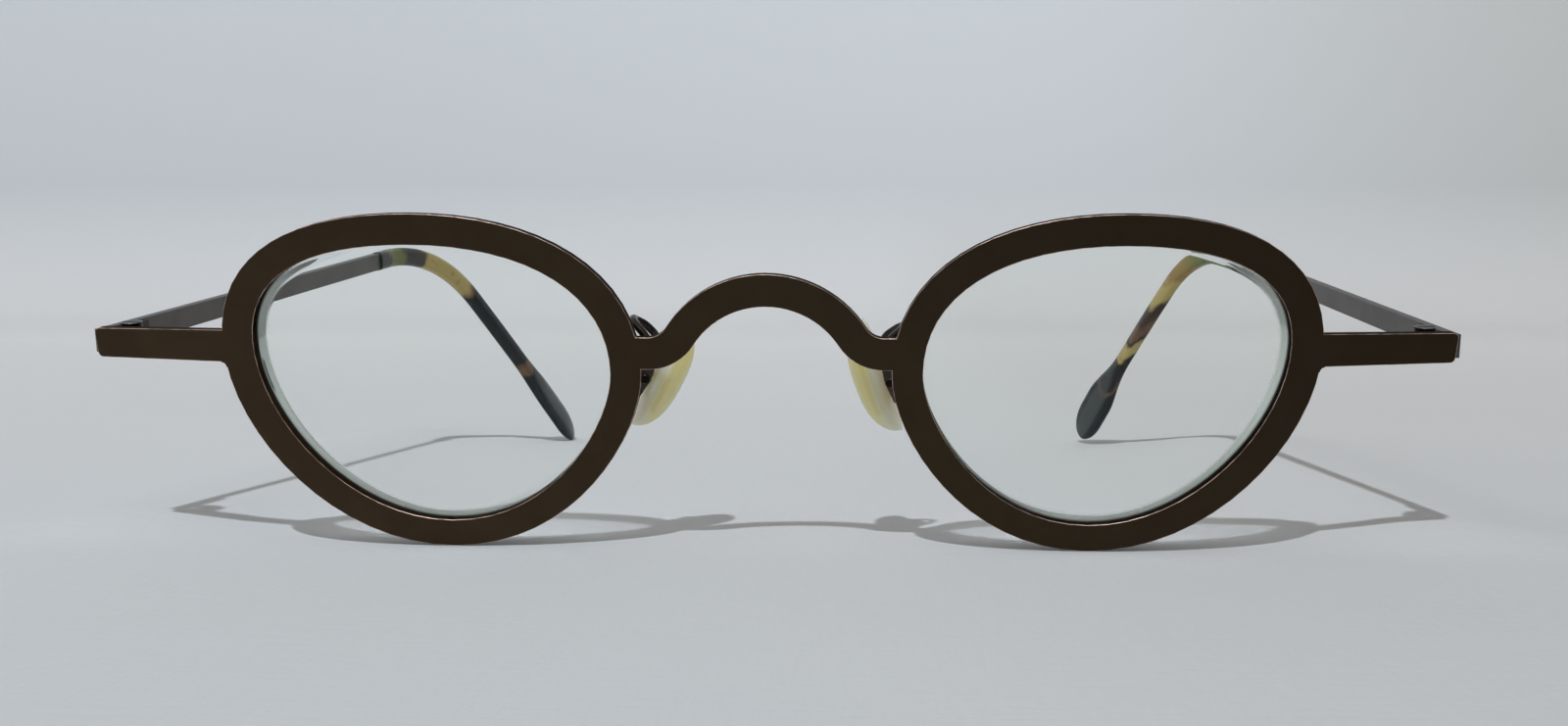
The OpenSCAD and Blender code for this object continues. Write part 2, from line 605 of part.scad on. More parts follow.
// Rings round a route; the first and last lie square to the faces that they meet
function wire_rings(w, d0, d1, r, n) = [for (i = [0:len(w) - 1]) let(
    d = i == 0 ? d0 : i == len(w) - 1 ? d1 : unit(w[i + 1] - w[i - 1]),
    s = unit(cross(d, [0.6, 0, 0.8])), u = cross(d, s))
    [for (k = [0:n - 1]) w[i] + r * (s * cos(360 * k / n) + u * sin(360 * k / n))]];
module pad_arm(pivot, tilt, reach, rise) {
    foot = [flare_c[0] - 0.5, plate_t, notch_z - bridge_w / 2];
    top = from_pad([box_mid, 0, box_top], pivot, tilt);
    over = from_pad([box_mid, 0, box_top + 1], pivot, tilt);
    y = pad_y;
    route = [
        foot, foot + [0.1, 0.8, 0.1], foot + [0.45 * reach, 2.1, 0.5 * rise], foot + [0.85 * reach, 3.3, 0.88 * rise],
        [foot[0] + reach, y - 1.7, foot[2] + rise], [foot[0] + 0.95 * reach, y - 0.9, foot[2] + 0.9 * rise],
        [foot[0] + 0.6 * reach, y - 0.35, foot[2] + 0.6 * rise], [over[0] - 0.35, y, foot[2] + 0.2 * rise - 0.4],
        over, top
    ];
    color(grey_metal) skin(wire_rings(wire_points(route, 5), [0, 1, 0], unit(top - over), arm_r, 8));
}

module right_side() {
    stand() children();
}
module left_side() {
    stand() mirror([1, 0, 0]) children();
}

front_plate();
left_side() eyewire();  // left_eyewire
left_side() lens();  // left_lens
left_side() rim_lock_upper();  // left_rim_lock_upper
left_side() rim_lock_lower();  // left_rim_lock_lower
left_side() rim_lock_screw();  // left_rim_lock_screw
left_side() pad_arm(left_pivot, left_tilt, left_reach, left_loop);  // left_pad_arm
left_side() pad_box(left_pivot, left_tilt);  // left_pad_box
left_side() pad_screw(left_pivot, left_tilt);  // left_pad_screw
left_side() nose_pad(left_pivot, left_tilt);  // left_nose_pad
left_side() pad_insert(left_pivot, left_tilt);  // left_pad_insert
left_side() hinge_front();  // left_hinge_front
left_side() hinge_temple(left_in, left_drop);  // left_hinge_temple
left_side() hinge_screw();  // left_hinge_screw
left_side() temple(left_in, left_drop, left_slope);  // left_temple
left_side() temple_tip(left_in, left_drop, left_slope, -left_twist);  // left_temple_tip
right_side() eyewire();  // right_eyewire
right_side() lens();  // right_lens
right_side() rim_lock_upper();  // right_rim_lock_upper
right_side() rim_lock_lower();  // right_rim_lock_lower
right_side() rim_lock_screw();  // right_rim_lock_screw
right_side() pad_arm(right_pivot, right_tilt, right_reach, right_loop);  // right_pad_arm
right_side() pad_box(right_pivot, right_tilt);  // right_pad_box
right_side() pad_screw(right_pivot, right_tilt);  // right_pad_screw
right_side() nose_pad(right_pivot, right_tilt);  // right_nose_pad
right_side() pad_insert(right_pivot, right_tilt);  // right_pad_insert
right_side() hinge_front();  // right_hinge_front
right_side() hinge_temple(right_in, right_drop);  // right_hinge_temple
right_side() hinge_screw();  // right_hinge_screw
right_side() temple(right_in, right_drop, right_slope);  // right_temple
right_side() temple_tip(right_in, right_drop, right_slope, right_twist);  // right_temple_tip
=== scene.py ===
import json
import math

import bmesh
import bpy
from mathutils import Matrix, Vector

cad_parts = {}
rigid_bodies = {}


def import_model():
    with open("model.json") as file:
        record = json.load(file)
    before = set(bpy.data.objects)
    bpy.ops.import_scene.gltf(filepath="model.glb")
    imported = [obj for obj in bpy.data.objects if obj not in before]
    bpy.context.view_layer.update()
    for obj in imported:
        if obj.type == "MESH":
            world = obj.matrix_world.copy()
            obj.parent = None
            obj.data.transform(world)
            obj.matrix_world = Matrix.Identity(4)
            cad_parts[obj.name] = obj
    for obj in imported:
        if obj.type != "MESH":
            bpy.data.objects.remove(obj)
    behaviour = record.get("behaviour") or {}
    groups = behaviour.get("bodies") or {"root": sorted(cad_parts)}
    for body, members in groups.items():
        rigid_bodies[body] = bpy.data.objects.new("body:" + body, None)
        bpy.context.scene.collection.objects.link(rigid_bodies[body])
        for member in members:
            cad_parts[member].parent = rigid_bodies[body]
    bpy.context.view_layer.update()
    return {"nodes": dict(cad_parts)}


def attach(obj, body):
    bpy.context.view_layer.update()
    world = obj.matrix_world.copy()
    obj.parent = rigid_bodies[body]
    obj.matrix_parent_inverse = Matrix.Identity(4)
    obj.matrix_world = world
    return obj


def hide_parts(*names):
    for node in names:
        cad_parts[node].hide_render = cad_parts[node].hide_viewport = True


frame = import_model()
scene = bpy.context.scene
MM = 0.001

# ---- Sizes, in millimetres ----
# Plate points are x across from the bridge, y back from the front's face, z up along the plate.
# Shared with the solids:
LEAN = math.radians(10.1677)
SHIFT_Y = -56.8603
PLATE_T = 1.1
LENS_W, LENS_H, NOSE_X, LOW_Z = 36.55, 28.85, 15.85, 2.8
LENS_OFF, LENS_T, FRONT_R, BACK_R = 0.05, 3.0, 130.0, 129.0
GROOVE_Y = PLATE_T + 1.4
CLOSING_Z = 17.1
PIVOT = (66.33, 3.2, 21.36)
BLADE_X = 2.345
BEND_START, BEND = 82.8, math.radians(55)
SLEEVE_AT = 76.6
BRIDGE_R, BRIDGE_W, BRIDGE_TOP = 8.75, 3.3, 28.75
NOTCH_Z, NOTCH_R = 22.25, 2.15
PAD_LEN, PAD_WIDE, PAD_THICK, PAD_OFF, PAD_RISE = 12.6, 7.0, 3.2, 0.7, 0.8
PAD_Y, PAD_SPLAY = 7.5, math.radians(8)
WIRE_R = 0.42
PADDLE_LEN, PADDLE_H, TIP_H = 18.5, 5.8, 2.75
# The scene's own, a little shorter than the solids':
TIP_LEN = 134.1
# Each side as it was bent by hand. pad: place and tilt of the pad. arm: reach and rise of its loop.
# temple: degrees that it turns out and drops. slope: how steeply the tip runs inwards. twist: of
# the paddle, in degrees. bend: its start and radius. end_r: length of the tip's rounded end.
SIDES = {
    "right": dict(flip=1, pad=((12.7, PAD_Y, 16.3), 19), arm=(2.5, 1.85), temple=(3.75, 3.15),
                  slope=0.37, twist=21.5, bend=(85.14, 15.0), end_r=5.2),
    "left": dict(flip=-1, pad=((13.4, PAD_Y, 16.6), 28), arm=(2.8, 2.45), temple=(3.05, 3.4),
                 slope=0.42, twist=-9.5, bend=(BEND_START, 19.5), end_r=4.9),
}


def stand(p):
    """A point of the upright front, in millimetres, as it stands on the table, in metres."""
    x, y, z = p
    c, s = math.cos(LEAN), math.sin(LEAN)
    return Vector((x, y * c - z * s + SHIFT_Y, y * s + z * c)) * MM


def smooth(x):
    """Eases from 0 to 1 as x does."""
    c = max(0.0, min(1.0, x))
    return c * c * (3 - 2 * c)


# ---- Camera at the photograph's viewing angle ----
CAMERA_AT = (13.28, -162.1, 56.7)
CAMERA_TURN = (-2.3594, -12.8353, -0.2517)


def look():
    """Place the camera, whose place and angles are given against the upright front."""
    yaw, pitch, roll = (math.radians(a) for a in CAMERA_TURN)
    ahead = Vector((math.sin(yaw) * math.cos(pitch), math.cos(yaw) * math.cos(pitch),
                    math.sin(pitch)))
    level = Vector((math.cos(yaw), -math.sin(yaw), 0))
    above = level.cross(ahead)
    right = level * math.cos(roll) + above * math.sin(roll)
    up = above * math.cos(roll) - level * math.sin(roll)
    cam = bpy.data.objects.new("camera", bpy.data.cameras.new("camera"))
    scene.collection.objects.link(cam)
    turn = Matrix.Rotation(LEAN, 4, "X") @ Matrix((right, up, -ahead)).transposed().to_4x4()
    cam.matrix_world = Matrix.Translation(stand(CAMERA_AT)) @ turn
    cam.data.sensor_width = 36
    cam.data.lens = 37.92
    cam.data.shift_x = -0.0301
    cam.data.clip_start, cam.data.clip_end = 0.005, 50
    scene.camera = cam


look()


# ---- Materials ----
class Paint:
    """Builds one procedural material round its Principled shader."""

    def __init__(self, name, **sockets):
        self.mat = bpy.data.materials.new(name)
        self.mat.use_nodes = True
        self.tree = self.mat.node_tree
        self.shader = self.tree.nodes["Principled BSDF"]
        for key, value in sockets.items():
            self.shader.inputs[key.replace("_", " ")].default_value = value
        self.place = self.tree.nodes.new("ShaderNodeTexCoord").outputs["Object"]

    def node(self, kind, inputs=None, **settings):
        n = self.tree.nodes.new(kind)
        for key, value in settings.items():
            setattr(n, key, value)
        for key, value in (inputs or {}).items():
            self.put(n.inputs[key], value)
        return n

    def put(self, socket, value):
        if isinstance(value, bpy.types.NodeSocket):
            self.tree.links.new(value, socket)
        else:
            socket.default_value = value

    def set(self, key, value):
        self.put(self.shader.inputs[key], value)

    def noise(self, scale, detail=3.0, rough=0.55, at=None, stretch=None):
        at = at or self.place
        if stretch:
            at = self.node("ShaderNodeMapping", {"Vector": at, "Scale": stretch}).outputs[0]
        inputs = {"Vector": at, "Scale": scale, "Detail": detail, "Roughness": rough}
        return self.node("ShaderNodeTexNoise", inputs).outputs["Fac"]

    def ramp(self, value, stops, ease="EASE"):
        """Colours by value, from stops of a place and its linear colour."""
        n = self.node("ShaderNodeValToRGB", {"Fac": value})
        n.color_ramp.interpolation = ease
        keys = n.color_ramp.elements
        while len(keys) < len(stops):
            keys.new(0.5)
        for key, (at, _) in zip(keys, stops):
            key.position = at
        for key, (_, colour) in zip(keys, stops):
            key.color = (*colour, 1)
        return n.outputs["Color"]

    def rise(self, value, start, end, low=0.0, high=1.0):
        """Eases from low, where value is start, to high, where it is end."""
        return self.ramp(value, [(start, (low,) * 3), (end, (high,) * 3)])

    def span(self, value, low, high, start=0.0, end=1.0):
        """Runs evenly from low, where value is start, to high, where it is end."""
        inputs = {"Value": value, "From Min": start, "From Max": end, "To Min": low, "To Max": high}
        return self.node("ShaderNodeMapRange", inputs).outputs[0]

    def maths(self, how, a, b):
        return self.node("ShaderNodeMath", {0: a, 1: b}, operation=how).outputs[0]

    def mix(self, fac, a, b):
        # Sockets 6 and 7 are A and B of a colour mix.
        n = self.node("ShaderNodeMix", {"Factor": fac, 6: a, 7: b}, data_type="RGBA")
        return n.outputs[2]

    def field(self, name):
        return self.node("ShaderNodeAttribute", attribute_name=name).outputs["Fac"]

    def axes(self):
        return self.node("ShaderNodeSeparateXYZ", {0: self.place}).outputs

    def bump(self, height, depth_mm, strength=1.0):
        inputs = {"Height": height, "Strength": strength, "Distance": depth_mm * MM}
        self.set("Normal", self.node("ShaderNodeBump", inputs).outputs[0])


def rgb(*v):
    """An sRGB colour from 0 to 255 as linear light."""
    return tuple((c / 255 / 12.92) if c < 10.3 else ((c / 255 + 0.055) / 1.055) ** 2.4 for c in v)


def rgba(*v):
    return (*rgb(*v), 1.0)


def metal(name, dark, light, worn, metallic, rough, grain, wear_and_glint, painted_shade=0.0, **more):
    """Painted or bare metal: slow mottling, fine grain that is grain millimetres deep, and edges
    made pale by a given amount, partly as worn metal and partly as a painted highlight. It darkens
    to the right and the top by the amount of painted shade."""
    p = Paint(name, Metallic=metallic, **more)
    cloud = p.noise(160, 4, 0.6)
    base = p.ramp(cloud, [(0.36, rgb(*dark)), (0.64, rgb(*light))])
    # Painted shade: the colour darkens towards the right and the top.
    if painted_shade:
        at = p.axes()
        across = p.maths("ADD", at["X"], p.maths("MULTIPLY", at["Z"], 2.0))
        far = p.span(across, 0.0, painted_shade, -0.055, 0.12)
        base = p.mix(far, base, rgba(*(c * 0.6 for c in dark)))
    # Pale edges on the bevels: partly worn metal, partly a painted highlight.
    uneven = p.rise(p.noise(700, 3, 0.6), 0.35, 0.65, wear_and_glint * 0.3, wear_and_glint)
    p.set("Base Color", p.mix(p.maths("MULTIPLY", p.field("edge_wear_glint"), uneven), base, rgba(*worn)))
    fine = p.noise(5200, 2, 0.6)
    sheen = p.maths("ADD", p.maths("MULTIPLY", cloud, 0.6), p.maths("MULTIPLY", fine, 0.4))
    p.set("Roughness", p.span(sheen, rough - 0.08, rough + 0.08))
    p.bump(fine, grain)
    return p.mat


# The bronze's darkening to the right and the top is painted shade; its very pale edge colour is
# partly painted highlight.
BRONZE = metal("bronze_lacquer", (68, 55, 40), (73, 60, 44), (244, 216, 202),
               metallic=1.0, rough=0.44, grain=0.006, wear_and_glint=1.3, painted_shade=0.8,
               Specular_Tint=(0.3, 0.24, 0.2, 1), Coat_Weight=0.06, Coat_Roughness=0.2)
GUNMETAL = metal("gunmetal_lacquer", (83, 78, 74), (96, 91, 87), (150, 146, 150),
                 metallic=0.8, rough=0.42, grain=0.004, wear_and_glint=0.4)
WIRE = metal("dark_wire", (58, 52, 50), (80, 73, 70), (150, 145, 142),
             metallic=1.0, rough=0.28, grain=0.002, wear_and_glint=0.4)
SCREW = metal("screw_steel", (26, 22, 20), (40, 34, 31), (150, 145, 140),
              metallic=1.0, rough=0.3, grain=0.002, wear_and_glint=0.5)
HINGE = metal("hinge_lacquer", (48, 41, 36), (58, 50, 44), (130, 118, 110),
              metallic=0.9, rough=0.4, grain=0.003, wear_and_glint=0.4)
INSERT = metal("insert_metal", (186, 176, 150), (205, 196, 172), (220, 214, 198),
               metallic=0.8, rough=0.35, grain=0.002, wear_and_glint=0.3)


def glass():
    """Clear lens: polished faces, a ground edge, and painted stand-ins for what shows of that edge
    through
    the face: a pale band of painted light on the temple side, with a dark line of painted shade
    outside it."""
    p = Paint("lens_glass", IOR=1.4, Specular_Tint=(0.3, 0.32, 0.34, 1))
    edge, band, line = p.field("ground"), p.field("band"), p.field("line")
    grit = p.noise(2600, 2)
    ground = p.mix(grit, rgba(122, 128, 120), rgba(140, 145, 138))
    pale = p.mix(grit, rgba(188, 197, 190), rgba(200, 207, 200))
    # The pale band is painted light.
    face = p.mix(band, rgba(252, 254, 252), pale)
    # The dark line is painted shade at the edge, with the left closing block painted as seen
    # through the glass.
    p.set("Base Color", p.mix(line, p.mix(edge, face, ground), rgba(30, 33, 26)))
    hazy = p.maths("MAXIMUM", edge, p.maths("MAXIMUM", band, line))
    p.set("Transmission Weight", p.span(hazy, 1.0, 0.0))
    p.set("Roughness", p.span(hazy, 0.0, 0.6))
    return p.mat


def silicone():
    """Honey-cream nose pads: cloudy layers from the flat back to the round face, with the metal
    plate inside tinting the middle of their height."""
    p = Paint("pad_silicone", IOR=1.42, Subsurface_Weight=1.0, Subsurface_Scale=0.016,
              Subsurface_Radius=(1.0, 0.75, 0.42), Subsurface_Anisotropy=0.3)
    cloud = p.noise(420, 3, 0.5)
    layer = p.maths("DIVIDE", p.field("depth"), PAD_THICK)
    layer = p.maths("ADD", layer, p.span(cloud, -0.05, 0.05))
    cream = [(0.0, rgb(246, 236, 212))]
    honey = [(0.52, rgb(255, 218, 158)), (0.8, rgb(255, 220, 162)), (0.97, rgb(255, 222, 196))]
    plain = p.ramp(layer, cream + [(0.3, rgb(246, 230, 188))] + honey)
    over_plate = [(0.26, rgb(244, 228, 188)), (0.34, rgb(240, 208, 150)),
                  (0.43, rgb(240, 208, 150))]
    plate = p.ramp(layer, cream + over_plate + honey)
    from_middle = p.maths("ABSOLUTE", p.field("height"), 0.0)
    inner = p.rise(p.maths("DIVIDE", from_middle, PAD_LEN / 2), 0.5, 0.58, 1.0, 0.0)
    p.set("Base Color", p.mix(inner, plain, plate))
    p.set("Transmission Weight", p.span(cloud, 0.0, 0.05))
    p.set("Roughness", p.span(p.noise(1500, 2), 0.26, 0.4))
    p.bump(p.noise(2400, 2), 0.003)
    return p.mat


def tortoise(name, stops, seed, slant, inner_sheen):
    """Acetate with bands of colour, a few cloudy spots, and a greyer inner face on the paddle that
    is painted sheen.

    stops are places along the temple with their colours, in millimetres as is slant, which says
    how far a band runs ahead on the outer face. The last argument is how far painted sheen greys
    the inner face."""
    p = Paint(name, IOR=1.49, Specular_IOR_Level=0.22)
    moved = {"Vector": p.place, "Location": (seed, seed * 0.7, -seed)}
    at = p.node("ShaderNodeMapping", moved).outputs[0]
    waver = p.span(p.noise(300, 3, 0.6, at), -2.2, 2.2)
    along = p.maths("ADD", p.maths("ADD", p.field("along"), waver),
                    p.maths("MULTIPLY", p.field("broad"), slant))
    length = TIP_LEN - SLEEVE_AT
    bands = p.ramp(p.maths("DIVIDE", p.maths("SUBTRACT", along, SLEEVE_AT), length),
                   [((s - SLEEVE_AT) / length, rgb(*c)) for s, c in stops], "LINEAR")
    spots = p.rise(p.noise(520, 2, 0.5, at), 0.58, 0.66)
    spotted = p.mix(p.maths("MULTIPLY", spots, 0.25), bands, rgba(38, 28, 16))
    paddle = p.maths("DIVIDE", p.maths("SUBTRACT", p.field("along"), 116.0), 10.0)
    inner = p.rise(p.maths("MULTIPLY", p.field("broad"), -1.0), 0.78, 0.97)
    painted_sheen = p.maths("MULTIPLY", p.maths("MULTIPLY", p.rise(paddle, 0.0, 1.0), inner), inner_sheen)
    # Painted sheen: the greyish colour on the paddle's inner face stands in for light reflected
    # there.
    p.set("Base Color", p.mix(painted_sheen, spotted, rgba(70, 76, 76)))
    p.set("Roughness", p.span(p.noise(900, 2), 0.16, 0.28))
    p.bump(p.noise(1800, 2), 0.002)
    return p.mat


HONEY, DUN, AMBER, BROWN = (176, 158, 98), (150, 126, 72), (104, 78, 56), (54, 38, 27)
BLACK, SOOT, TEAL = (13, 17, 17), (24, 24, 22), (16, 26, 27)
GREEN, OLIVE, ASH = (26, 32, 20), (112, 118, 70), (72, 68, 62)
TIP_PAINT = {
    "left": tortoise("tip_tortoise_left", [
        (76.6, GREEN), (79.0, GREEN), (80, OLIVE), (83, OLIVE), (84, ASH), (87.6, ASH),
        (88.4, HONEY), (98, HONEY), (99.3, AMBER), (100, BLACK), (115, BLACK), (116, AMBER),
        (117.2, AMBER), (118.2, BLACK), (124, TEAL), (134.2, BLACK),
    ], seed=0.013, slant=0.6, inner_sheen=0.45),
    "right": tortoise("tip_tortoise_right", [
        (76.6, GREEN), (79, OLIVE), (88, OLIVE), (92, DUN), (95.5, (146, 120, 66)), (97, HONEY),
        (101, HONEY), (102.5, BROWN), (105, BROWN), (106.5, AMBER), (108.6, AMBER), (109.4, BLACK),
        (110.6, HONEY), (113.2, HONEY), (114.4, BLACK), (119.4, SOOT), (120.3, AMBER),
        (121.2, BLACK), (127, TEAL), (134.2, TEAL),
    ], seed=0.031, slant=2.4, inner_sheen=0.75),
}
GLASS, SILICONE = glass(), silicone()


# ---- Building pieces ----
def add_piece(name, mesh, body, node, paint, sharp=None):
    """Dress a node in a mesh. Edges over sharp degrees are made sharp, if it is given."""
    for f in mesh.polygons:
        f.use_smooth = True
    if sharp:
        mesh.set_sharp_from_angle(angle=math.radians(sharp))
    obj = bpy.data.objects.new(name, mesh)
    scene.collection.objects.link(obj)
    mesh.materials.append(paint)
    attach(obj, body)
    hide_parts(node)


def eased(node, width, body, paint):
    """A node's own form with its sharp edges broken by width millimetres. The broken edges carry
    the pale colour of worn metal and painted highlight, and stay smooth within, so that they catch
    the light."""
    sharp = math.radians(30)
    bm = bmesh.new()
    bm.from_mesh(frame["nodes"][node].data)
    bmesh.ops.remove_doubles(bm, verts=bm.verts, dist=3e-6)
    bmesh.ops.dissolve_limit(bm, angle_limit=math.radians(0.5), verts=bm.verts, edges=bm.edges)
    edges = [e for e in bm.edges if len(e.link_faces) == 2 and e.calc_face_angle() > sharp]
    edge_wear_glint = bm.faces.layers.float.new("edge_wear_glint")
    made = bmesh.ops.bevel(bm, geom=edges, offset=width * MM, offset_type="OFFSET", segments=2,
                           profile=0.5, affect="EDGES", clamp_overlap=True)
    for f in made["faces"]:
        f[edge_wear_glint] = 1.0
    for e in bm.edges:
        worn = sum(f[edge_wear_glint] for f in e.link_faces)
        e.smooth = worn == len(e.link_faces) or worn == 0 and e.calc_face_angle(0) < sharp
    mesh = bpy.data.meshes.new(node + "_eased")
    bm.to_mesh(mesh)
    bm.free()
    add_piece(node + "_eased", mesh, body, node, paint)


def skinned(name, rings, body, node, paint, flip, sharp, point_fields=(), face_fields=()):
    """A closed skin over rings of plate points; flip is -1 for the left side, which is mirrored.
    Fields are named lists of values; a face field that is short goes on with zeros."""
    n = len(rings[0])
    points = [stand((p[0] * flip, p[1], p[2])) for r in rings for p in r]
    faces = []
    for r in range(len(rings) - 1):
        for i in range(n):
            a, b = r * n + i, r * n + (i + 1) % n
            faces.append((a, b, b + n, a + n))
    faces += [tuple(range(n))[::-1], tuple(range(len(points) - n, len(points)))]
    if flip < 0:
        faces = [f[::-1] for f in faces]
    mesh = bpy.data.meshes.new(name)
    mesh.from_pydata(points, [], faces)
    for key, values in point_fields:
        mesh.attributes.new(key, "FLOAT", "POINT").data.foreach_set("value", values)
    for key, values in face_fields:
        filled = values + [0.0] * (len(faces) - len(values))
        mesh.attributes.new(key, "FLOAT", "FACE").data.foreach_set("value", filled)
    mesh.update()
    bm = bmesh.new()
    bm.from_mesh(mesh)
    bmesh.ops.recalc_face_normals(bm, faces=bm.faces)
    bm.to_mesh(mesh)
    bm.free()
    add_piece(name, mesh, body, node, paint, sharp)


# ---- Lens opening: four cubic curves through its outermost points ----
TOP = (NOSE_X + 0.55 * LENS_W, LOW_Z + LENS_H)
OUT = (NOSE_X + LENS_W, LOW_Z + 0.66 * LENS_H)
LOW = (NOSE_X + 0.465 * LENS_W, LOW_Z)
IN = (NOSE_X, LOW_Z + 0.545 * LENS_H)


def handles(a, b, along_a, along_b, level_first):
    """A quarter from a to b that leaves a level and reaches b upright, or the other way round."""
    dx, dz = b[0] - a[0], b[1] - a[1]
    if level_first:
        return a, (a[0] + dx * along_a, a[1]), (b[0], b[1] - dz * along_b), b
    return a, (a[0], a[1] + dz * along_a), (b[0] - dx * along_b, b[1]), b


QUARTERS = [handles(TOP, OUT, 0.645, 0.675, True), handles(OUT, LOW, 0.45, 0.545, False),
            handles(LOW, IN, 0.645, 0.315, True), handles(IN, TOP, 0.615, 0.62, False)]


def oval(t, off=0.0):
    """The opening's point at t, which runs clockwise from 0 to 4 from the top, with 1 at the
    temple side and 3 at the nose, moved outwards by off."""
    q, f = QUARTERS[int(t) % 4], t % 1.0
    w = ((1 - f) ** 3, 3 * f * (1 - f) ** 2, 3 * f * f * (1 - f), f ** 3)
    x, z = (sum(k * p[i] for k, p in zip(w, q)) for i in (0, 1))
    d = [(q[1][i] - q[0][i]) * (1 - f) ** 2 + 2 * (q[2][i] - q[1][i]) * f * (1 - f)
         + (q[3][i] - q[2][i]) * f * f for i in (0, 1)]
    size = math.hypot(*d)
    return x - d[1] / size * off, z + d[0] / size * off


# ---- Lenses: two spherical faces and a ground edge with its bevel ----
CENTRE = (NOSE_X + LENS_W / 2, LOW_Z + LENS_H / 2)
LENS_STEPS = 160
FRONT_RINGS, REAR_RINGS = 19, 21
# How far in from the edge the front face's outer rings lie, which carry its band of painted light
# and its line of painted shade
BAND_RINGS = [1.3, 1.05, 0.85, 0.7, 0.55, 0.43, 0.36, 0.26, 0.2, 0.13, 0.0]


def sag(r, ball):
    """How far a face of that ball's radius lies back, r away from its middle."""
    return ball - math.sqrt(ball * ball - r * r)


NEAR_SAG = sag(min(math.dist(oval(i / 16), CENTRE) for i in range(64)), FRONT_R)
LENS_Y = PLATE_T + 0.1 - NEAR_SAG


def painted_lit_band(t, d):
    """The band's painted light at t, d millimetres in: full on the temple side, less below, none by
    the nose.
    """
    return (smooth((t - 0.3) / 0.5) * (1 - 0.62 * smooth((t - 1.55) / 0.35))
            * (1 - smooth((t - 2.05) / 0.45)) * (1 - smooth((d - 0.5) / 0.6)))


def painted_shade_line(side, t, d):
    """Painted shade: the dark line at the very edge, and further in a dark sliver painted where the
    left closing block shows through the glass.
    """
    if d < 0.17:
        return 0.85 * smooth((t - 0.5) / 0.3) * (1 - smooth((t - 2.3) / 0.4))
    return 0.8 if side == "left" and 0.24 < d < 0.4 and 1.09 < t < 1.21 else 0.0


def lens(side, flip):
    """Rings from the middle of the front face over the bevelled edge to the middle behind."""
    turns = [4 * i / LENS_STEPS for i in range(LENS_STEPS)]
    outline = [oval(t, LENS_OFF) for t in turns]
    rims = [math.dist(p, CENTRE) for p in outline]

    def inset(k):
        return [(CENTRE[0] + (x - CENTRE[0]) * k, CENTRE[1] + (z - CENTRE[1]) * k)
                for x, z in outline]

    def front(points, raised=0.0):
        """The face's points. On the temple side its rim is raised by up to its whole sag, to lie
        just behind the plate."""
        out = []
        for (x, z), rim, t in zip(points, rims, turns):
            level = ((sag(rim, FRONT_R) - NEAR_SAG) * raised
                     * smooth((t - 0.2) / 0.3) * (1 - smooth((t - 2.0) / 0.3)))
            out.append((x, LENS_Y + sag(math.dist((x, z), CENTRE), FRONT_R) - level, z))
        return out

    def rear(points):
        back = LENS_Y + LENS_T
        return [(x, back + sag(math.dist((x, z), CENTRE), BACK_R), z) for x, z in points]

    def edge(off, y):
        return [(x, y, z) for x, z in (oval(t, off) for t in turns)]

    last = FRONT_RINGS - 1
    rings = [front(inset(0.01 + 0.88 * (i / last))) for i in range(FRONT_RINGS)]
    band = [0.0] * (LENS_STEPS * FRONT_RINGS)
    line = list(band)
    # The outer rings carry the band's painted light and the line's painted shade.
    for d in BAND_RINGS:
        rings.append(front([oval(t, LENS_OFF - d) for t in turns], smooth((0.75 - d) / 0.5)))
        band += [painted_lit_band(t, d) for t in turns]
        line += [painted_shade_line(side, t, d) for t in turns]
    bevel = [edge(LENS_OFF, GROOVE_Y - 0.4), edge(LENS_OFF + 0.5, GROOVE_Y),
             edge(LENS_OFF, GROOVE_Y + 0.4)]
    ground = [0.0] * (LENS_STEPS * (len(rings) - 1)) + [1.0] * (LENS_STEPS * (len(bevel) + 1))
    last = REAR_RINGS - 1
    rings += bevel + [rear(inset(0.01 + 0.99 * (i / last))) for i in reversed(range(REAR_RINGS))]
    behind = [0.0] * (LENS_STEPS * (len(bevel) + REAR_RINGS))
    skinned(side + "_lens_ground", rings, "front", side + "_lens", GLASS, flip, 30,
            [("band", band + behind), ("line", line + behind)], [("ground", ground)])


# ---- Eyewires: a grooved wire behind each rim, split at its closing block ----
def eyewire(side, flip):
    """The section, whose back corners are rounded by r, swept once round from the split."""
    low, high = 1.0, 2.0
    while high - low > 1e-5:  # halves on the temple side to where the oval is at CLOSING_Z
        mid = (low + high) / 2
        low, high = (mid, high) if oval(mid)[1] > CLOSING_Z else (low, mid)
    split = (low + high) / 2
    half_gap, steps = 0.0021, 240
    near, far, back = 0.15, 1.25, PLATE_T + 2.8
    groove, r, k = 0.5, 0.25, 0.08
    section = [(near, PLATE_T), (far, PLATE_T), (far, back - r), (far - k, back - k),
               (far - r, back), (near + r, back), (near + k, back - k), (near, back - r),
               (near, GROOVE_Y + groove), (near + groove, GROOVE_Y), (near, GROOVE_Y - groove)]
    rings = []
    for i in range(steps + 1):
        t = split + half_gap + (4 - 2 * half_gap) * i / steps
        rings.append([(oval(t, off)[0], y, oval(t, off)[1]) for off, y in section])
    skinned(side + "_eyewire_drawn", rings, "front", side + "_eyewire", GUNMETAL,
            flip, 30)


# ---- Temple tips: moulded acetate over the core, round the bend to a paddle ----
def turned(s, bend):
    """How far the path has turned down at s, for a bend given by its start and radius."""
    return 0.0 if s < bend[0] else min(BEND, (s - bend[0]) / bend[1])


def path(s, slope, bend):
    """The middle of the tip at s: straight back, round the bend, straight down and inwards."""
    start, r = bend
    after = max(0.0, s - start - r * BEND)
    e = max(0.0, s - (BEND_START - 2))
    inwards = slope * (math.sqrt(e * e + 4) - 2) - 0.001 * e * e
    back = min(s, start) + r * math.sin(turned(s, bend)) + after * math.cos(BEND)
    down = -r * (1 - math.cos(turned(s, bend))) - after * math.sin(BEND)
    return Vector((BLADE_X - inwards, back, down))


def soft(v, power):
    """v with its size raised to a power under 1, which squares a round section."""
    return math.copysign(abs(v) ** power, v)


